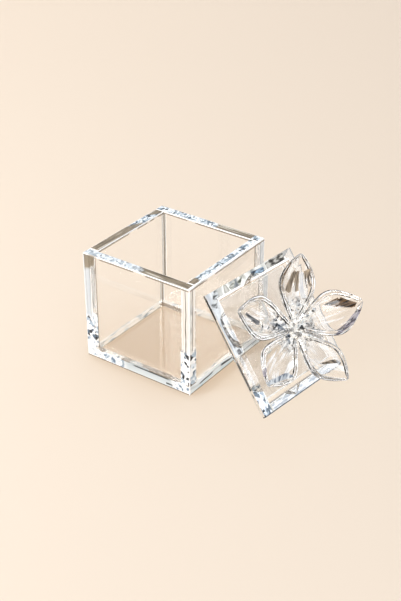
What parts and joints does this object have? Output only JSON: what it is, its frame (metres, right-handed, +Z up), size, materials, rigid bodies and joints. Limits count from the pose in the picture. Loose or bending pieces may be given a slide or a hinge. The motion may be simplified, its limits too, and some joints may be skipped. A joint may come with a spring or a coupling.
{
  "type": "glass storage box",
  "caption": "Small square keepsake box of clear glass panes, with a loose chamfered glass lid that carries a glass flower and leans on the open box.",
  "frame": {"origin": "centre of the box's underside, on the surface that it stands on", "axes": "+Z up, +X towards the wall that the lid leans on, -Y towards the front"},
  "size_m": [0.1414, 0.0818, 0.0682],
  "materials": {
    "pane_glass": "polished clear float glass with ground arrises",
    "lid_glass": "polished clear glass with a wide polished chamfer under its edges",
    "petal_glass": "fire-polished clear moulded glass",
    "bead_glass": "fire-polished clear lampworked glass"
  },
  "bodies": {
    "box": {"base_pane": "pane_glass", "front_wall": "pane_glass", "back_wall": "pane_glass", "left_wall": "pane_glass", "right_wall": "pane_glass"},
    "lid": {"lid_plate": "lid_glass", "locating_plate": "lid_glass", "flower_seat": "petal_glass", "petal_top": "petal_glass", "petal_right": "petal_glass", "petal_lower_right": "petal_glass", "petal_lower_left": "petal_glass", "petal_left": "petal_glass", "pistil": "bead_glass", "outer_stamen_1": "bead_glass", "outer_stamen_2": "bead_glass", "outer_stamen_3": "bead_glass", "outer_stamen_4": "bead_glass", "outer_stamen_5": "bead_glass", "inner_stamen_1": "bead_glass", "inner_stamen_2": "bead_glass", "inner_stamen_3": "bead_glass", "inner_stamen_4": "bead_glass", "inner_stamen_5": "bead_glass", "glass_drop": "bead_glass"}
  },
  "joints": [
    {"name": "lid_lift", "type": "slide", "parent": "box", "child": "lid", "axis": [0, 0, 1], "range_m": [0, 0.075]}
  ]
}
